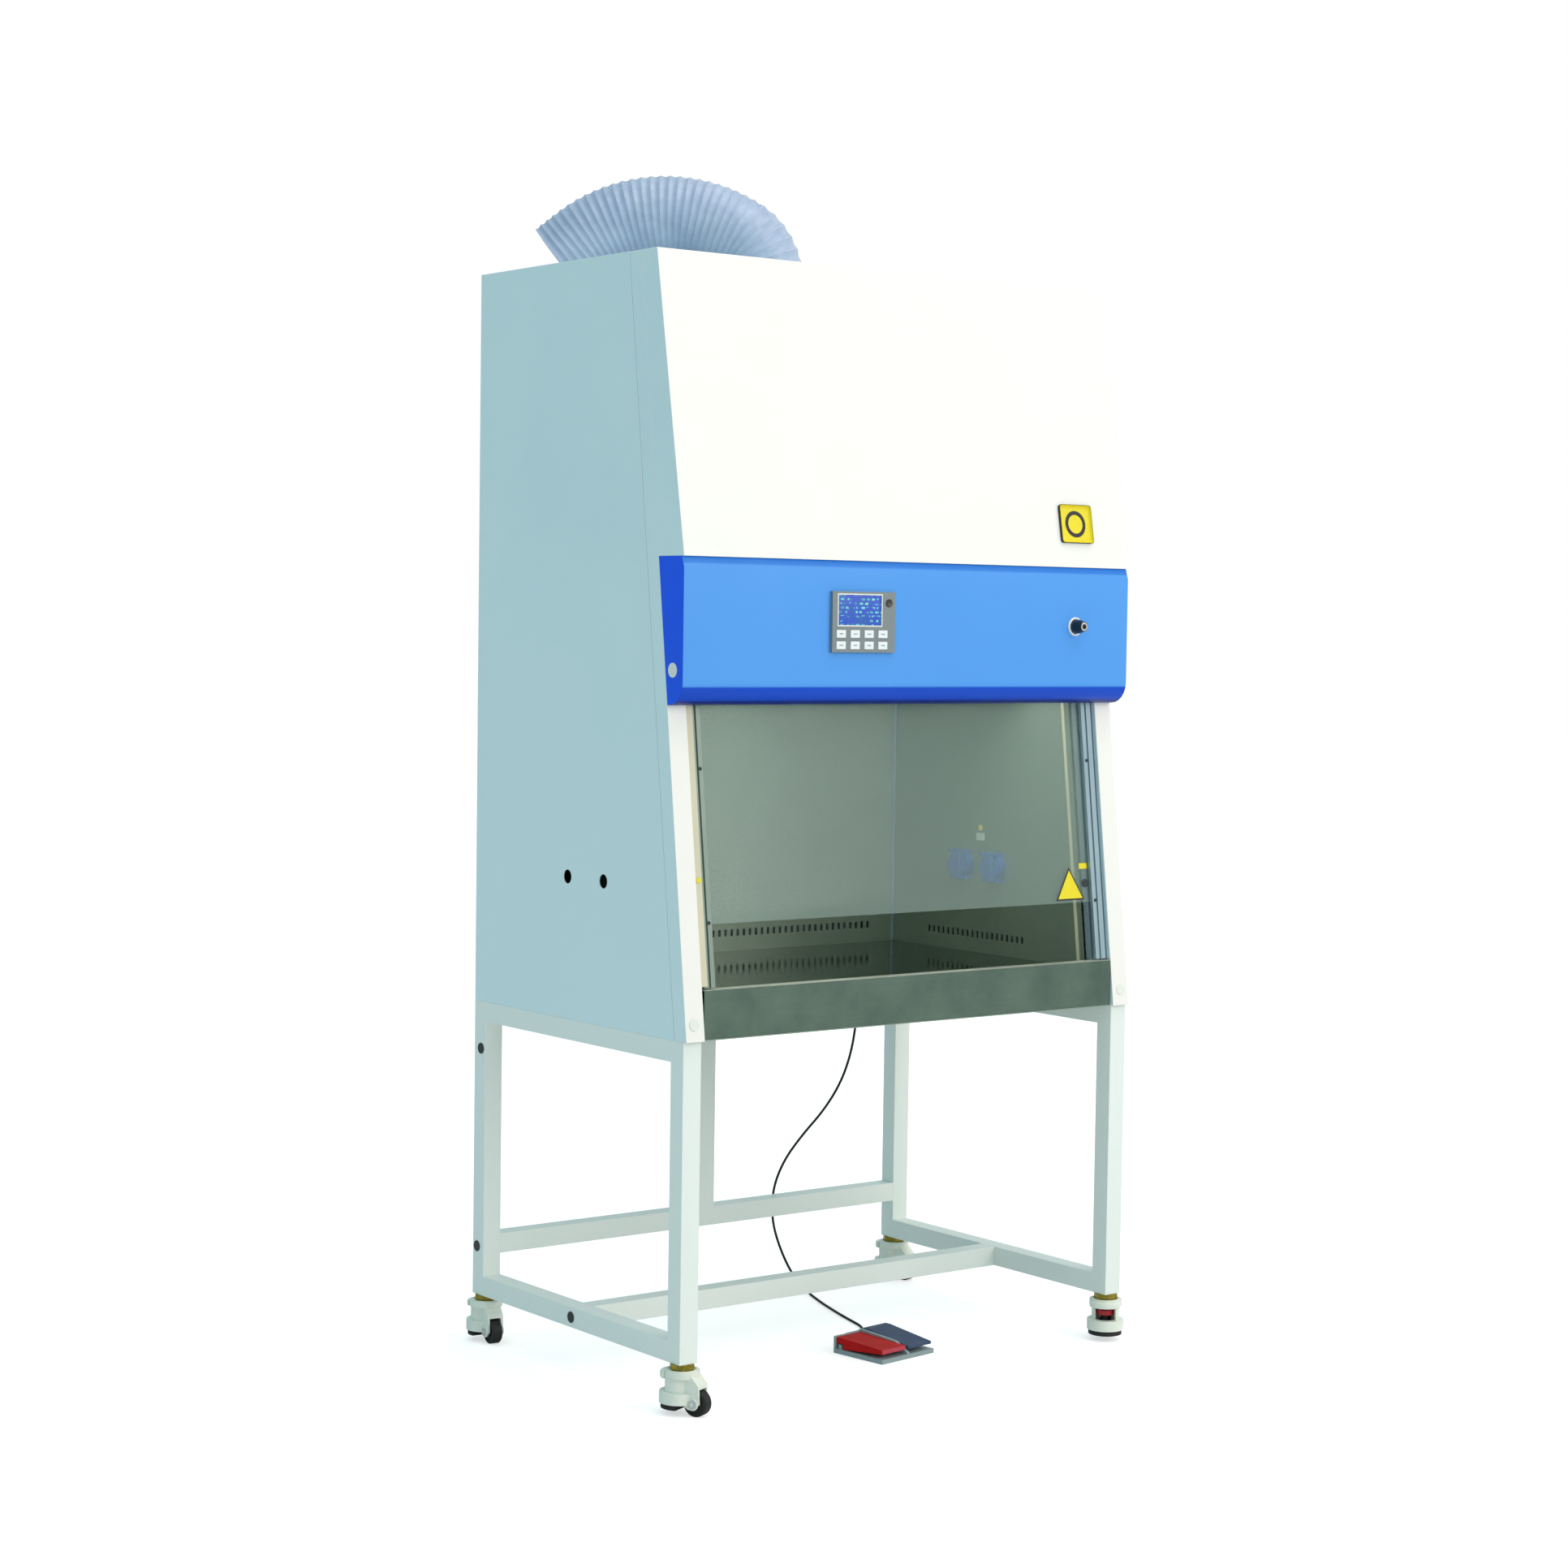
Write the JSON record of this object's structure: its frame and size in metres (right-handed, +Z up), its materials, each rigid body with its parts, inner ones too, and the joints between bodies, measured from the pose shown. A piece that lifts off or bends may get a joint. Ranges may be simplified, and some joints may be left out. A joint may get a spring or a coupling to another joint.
{
  "type": "ducted safety cabinet",
  "caption": "Ducted fume hood with a sloped sliding glass sash, steel work chamber, control panel, caster stand, flexible exhaust hose and foot switch.",
  "frame": {"origin": "middle of the footprint of everything but the foot switch and its cord, on the floor", "axes": "+Z up from the floor; the open front faces -Y; +X points to the right of a person who stands at the open front and looks at it"},
  "size_m": [1.1474, 0.9082, 2.3651],
  "materials": {
    "side_paint": "satin",
    "white_paint": "satin",
    "stand_paint": "satin",
    "blue_paint": "gloss",
    "bezel_plastic": "satin",
    "screen_glass": "gloss",
    "key_plastic": "satin",
    "stainless": "brushed",
    "guide_aluminium": "satin",
    "lamp_white": "gloss",
    "filter_medium": "matte",
    "hose_plastic": "translucent",
    "plug_plastic": "satin",
    "nut_brass": "worn",
    "socket_plastic": "satin",
    "switch_grey": "satin",
    "cord_rubber": "matte",
    "sash_glass": "clear",
    "knob_black": "gloss",
    "pedal_red": "satin",
    "pedal_blue": "satin",
    "caster_ivory": "satin",
    "caster_rubber": "matte",
    "dial_red": "satin"
  },
  "bodies": {
    "cabinet": {"base_pan": "stainless", "blower_housing": "side_paint", "caster_nuts": "nut_brass", "chamber_back_wall": "stainless", "chamber_ceiling": "stainless", "chamber_side_walls": "stainless", "control_housing": "blue_paint", "cord_gland": "plug_plastic", "cover_plugs": "plug_plastic", "display_screen": "screen_glass", "exhaust_collar": "stainless", "exhaust_duct": "hose_plastic", "foot_switch_base": "switch_grey", "foot_switch_cord": "cord_rubber", "front_apron": "stainless", "front_columns": "white_paint", "front_cover": "white_paint", "hepa_filters": "filter_medium", "keypad_bezel": "bezel_plastic", "lamp_tubes": "lamp_white", "power_sockets": "socket_plastic", "rear_panel": "side_paint", "sash_guides": "guide_aluminium", "side_panel_left": "side_paint", "side_panel_right": "side_paint", "stand_crossbars": "stand_paint", "stand_side_frames": "stand_paint", "top_panel": "side_paint", "work_tray": "stainless"},
    "sash": {"sash_glass": "sash_glass"},
    "impeller": {"blower_impeller": "guide_aluminium"},
    "lock": {"key_switch": "knob_black"},
    "lid_front": {"socket_lid_front": "socket_plastic"},
    "lid_rear": {"socket_lid_rear": "socket_plastic"},
    "red_pedal": {"pedal_red": "pedal_red"},
    "blue_pedal": {"pedal_blue": "pedal_blue"},
    "key1": {"key_1": "key_plastic"},
    "key2": {"key_2": "key_plastic"},
    "key3": {"key_3": "key_plastic"},
    "key4": {"key_4": "key_plastic"},
    "key5": {"key_5": "key_plastic"},
    "key6": {"key_6": "key_plastic"},
    "key7": {"key_7": "key_plastic"},
    "key8": {"key_8": "key_plastic"},
    "front_left_swivel": {"caster_front_left_housing": "caster_ivory"},
    "front_left_wheel": {"caster_front_left_wheel": "caster_rubber"},
    "front_left_dial": {"caster_front_left_dial": "dial_red"},
    "front_left_pad": {"caster_front_left_pad": "caster_rubber"},
    "front_right_swivel": {"caster_front_right_housing": "caster_ivory"},
    "front_right_wheel": {"caster_front_right_wheel": "caster_rubber"},
    "front_right_dial": {"caster_front_right_dial": "dial_red"},
    "front_right_pad": {"caster_front_right_pad": "caster_rubber"},
    "rear_left_swivel": {"caster_rear_left_housing": "caster_ivory"},
    "rear_left_wheel": {"caster_rear_left_wheel": "caster_rubber"},
    "rear_left_dial": {"caster_rear_left_dial": "dial_red"},
    "rear_left_pad": {"caster_rear_left_pad": "caster_rubber"},
    "rear_right_swivel": {"caster_rear_right_housing": "caster_ivory"},
    "rear_right_wheel": {"caster_rear_right_wheel": "caster_rubber"},
    "rear_right_dial": {"caster_rear_right_dial": "dial_red"},
    "rear_right_pad": {"caster_rear_right_pad": "caster_rubber"}
  },
  "joints": [
    {"name": "sash_slide", "type": "slide", "parent": "cabinet", "child": "sash", "axis": [0, 0.1197, 0.9928], "range_m": [-0.116, 0.3]},
    {"name": "impeller_spin", "type": "hinge", "parent": "cabinet", "child": "impeller", "pos_m": [-0.00437, 0.01368, 1.725], "axis": [1, 0, 0], "continuous": true},
    {"name": "lock_turn", "type": "hinge", "parent": "cabinet", "child": "lock", "pos_m": [0.40263, -0.39932, 1.457], "axis": [0, 1, 0], "range_deg": [0, 90]},
    {"name": "lid_front_hinge", "type": "hinge", "parent": "cabinet", "child": "lid_front", "pos_m": [0.44483, -0.09982, 0.9775], "axis": [0, 1, 0], "range_deg": [0, 100], "stiffness_Nm_per_rad": 0.01, "springref_deg": -28.65},
    {"name": "lid_rear_hinge", "type": "hinge", "parent": "cabinet", "child": "lid_rear", "pos_m": [0.44483, 0.00268, 0.9775], "axis": [0, 1, 0], "range_deg": [0, 100], "stiffness_Nm_per_rad": 0.01, "springref_deg": -28.65},
    {"name": "red_pedal_press", "type": "hinge", "parent": "cabinet", "child": "red_pedal", "pos_m": [0.06075, -0.18884, 0.014], "axis": [0.9903, 0.1392, 0], "range_deg": [0, 4], "stiffness_Nm_per_rad": 2, "springref_deg": -11.46},
    {"name": "blue_pedal_press", "type": "hinge", "parent": "cabinet", "child": "blue_pedal", "pos_m": [0.06075, -0.18884, 0.014], "axis": [0.9903, 0.1392, 0], "range_deg": [0, 4], "stiffness_Nm_per_rad": 2, "springref_deg": -11.46},
    {"name": "key_1_press", "type": "slide", "parent": "cabinet", "child": "key1", "axis": [0, 1, 0], "range_m": [0, 0.0012], "stiffness_N_per_m": 400, "springref_m": -0.0005},
    {"name": "key_2_press", "type": "slide", "parent": "cabinet", "child": "key2", "axis": [0, 1, 0], "range_m": [0, 0.0012], "stiffness_N_per_m": 400, "springref_m": -0.0005},
    {"name": "key_3_press", "type": "slide", "parent": "cabinet", "child": "key3", "axis": [0, 1, 0], "range_m": [0, 0.0012], "stiffness_N_per_m": 400, "springref_m": -0.0005},
    {"name": "key_4_press", "type": "slide", "parent": "cabinet", "child": "key4", "axis": [0, 1, 0], "range_m": [0, 0.0012], "stiffness_N_per_m": 400, "springref_m": -0.0005},
    {"name": "key_5_press", "type": "slide", "parent": "cabinet", "child": "key5", "axis": [0, 1, 0], "range_m": [0, 0.0012], "stiffness_N_per_m": 400, "springref_m": -0.0005},
    {"name": "key_6_press", "type": "slide", "parent": "cabinet", "child": "key6", "axis": [0, 1, 0], "range_m": [0, 0.0012], "stiffness_N_per_m": 400, "springref_m": -0.0005},
    {"name": "key_7_press", "type": "slide", "parent": "cabinet", "child": "key7", "axis": [0, 1, 0], "range_m": [0, 0.0012], "stiffness_N_per_m": 400, "springref_m": -0.0005},
    {"name": "key_8_press", "type": "slide", "parent": "cabinet", "child": "key8", "axis": [0, 1, 0], "range_m": [0, 0.0012], "stiffness_N_per_m": 400, "springref_m": -0.0005},
    {"name": "front_left_swivel_turn", "type": "hinge", "parent": "cabinet", "child": "front_left_swivel", "pos_m": [-0.53437, -0.39632, 0.08], "axis": [0, 0, 1], "continuous": true},
    {"name": "front_left_wheel_roll", "type": "hinge", "parent": "front_left_swivel", "child": "front_left_wheel", "pos_m": [-0.52109, -0.42762, 0.025], "axis": [0.9205, 0.3907, 0], "continuous": true},
    {"name": "front_left_pad_lower", "type": "slide", "parent": "front_left_swivel", "child": "front_left_pad", "axis": [0, 0, -1], "range_m": [0, 0.012]},
    {"name": "front_left_dial_turn", "type": "hinge", "parent": "front_left_pad", "child": "front_left_dial", "pos_m": [-0.53671, -0.3908, 0.057], "axis": [0, 0, 1], "range_deg": [0, 1440]},
    {"name": "front_right_swivel_turn", "type": "hinge", "parent": "cabinet", "child": "front_right_swivel", "pos_m": [0.52563, -0.39632, 0.08], "axis": [0, 0, 1], "continuous": true},
    {"name": "front_right_wheel_roll", "type": "hinge", "parent": "front_right_swivel", "child": "front_right_wheel", "pos_m": [0.54967, -0.37228, 0.025], "axis": [-0.7071, 0.7071, 0], "continuous": true},
    {"name": "front_right_pad_lower", "type": "slide", "parent": "front_right_swivel", "child": "front_right_pad", "axis": [0, 0, -1], "range_m": [0, 0.012]},
    {"name": "front_right_dial_turn", "type": "hinge", "parent": "front_right_pad", "child": "front_right_dial", "pos_m": [0.52139, -0.40056, 0.057], "axis": [0, 0, 1], "range_deg": [0, 1440]},
    {"name": "rear_left_swivel_turn", "type": "hinge", "parent": "cabinet", "child": "rear_left_swivel", "pos_m": [-0.53437, 0.29368, 0.08], "axis": [0, 0, 1], "continuous": true},
    {"name": "rear_left_wheel_roll", "type": "hinge", "parent": "rear_left_swivel", "child": "rear_left_wheel", "pos_m": [-0.53851, 0.25993, 0.025], "axis": [0.9925, -0.1219, 0], "continuous": true},
    {"name": "rear_left_pad_lower", "type": "slide", "parent": "rear_left_swivel", "child": "rear_left_pad", "axis": [0, 0, -1], "range_m": [0, 0.012]},
    {"name": "rear_left_dial_turn", "type": "hinge", "parent": "rear_left_pad", "child": "rear_left_dial", "pos_m": [-0.53364, 0.29963, 0.057], "axis": [0, 0, 1], "range_deg": [0, 1440]},
    {"name": "rear_right_swivel_turn", "type": "hinge", "parent": "cabinet", "child": "rear_right_swivel", "pos_m": [0.52563, 0.29368, 0.08], "axis": [0, 0, 1], "continuous": true},
    {"name": "rear_right_wheel_roll", "type": "hinge", "parent": "rear_right_swivel", "child": "rear_right_wheel", "pos_m": [0.53443, 0.26084, 0.025], "axis": [0.9659, 0.2588, 0], "continuous": true},
    {"name": "rear_right_pad_lower", "type": "slide", "parent": "rear_right_swivel", "child": "rear_right_pad", "axis": [0, 0, -1], "range_m": [0, 0.012]},
    {"name": "rear_right_dial_turn", "type": "hinge", "parent": "rear_right_pad", "child": "rear_right_dial", "pos_m": [0.52408, 0.29947, 0.057], "axis": [0, 0, 1], "range_deg": [0, 1440]}
  ],
  "couplings": [
    {"joint": "front_left_dial_turn", "follows": "front_left_pad_lower", "rad_per_m": 2094.4},
    {"joint": "front_right_dial_turn", "follows": "front_right_pad_lower", "rad_per_m": 2094.4},
    {"joint": "rear_left_dial_turn", "follows": "rear_left_pad_lower", "rad_per_m": 2094.4},
    {"joint": "rear_right_dial_turn", "follows": "rear_right_pad_lower", "rad_per_m": 2094.4}
  ]
}
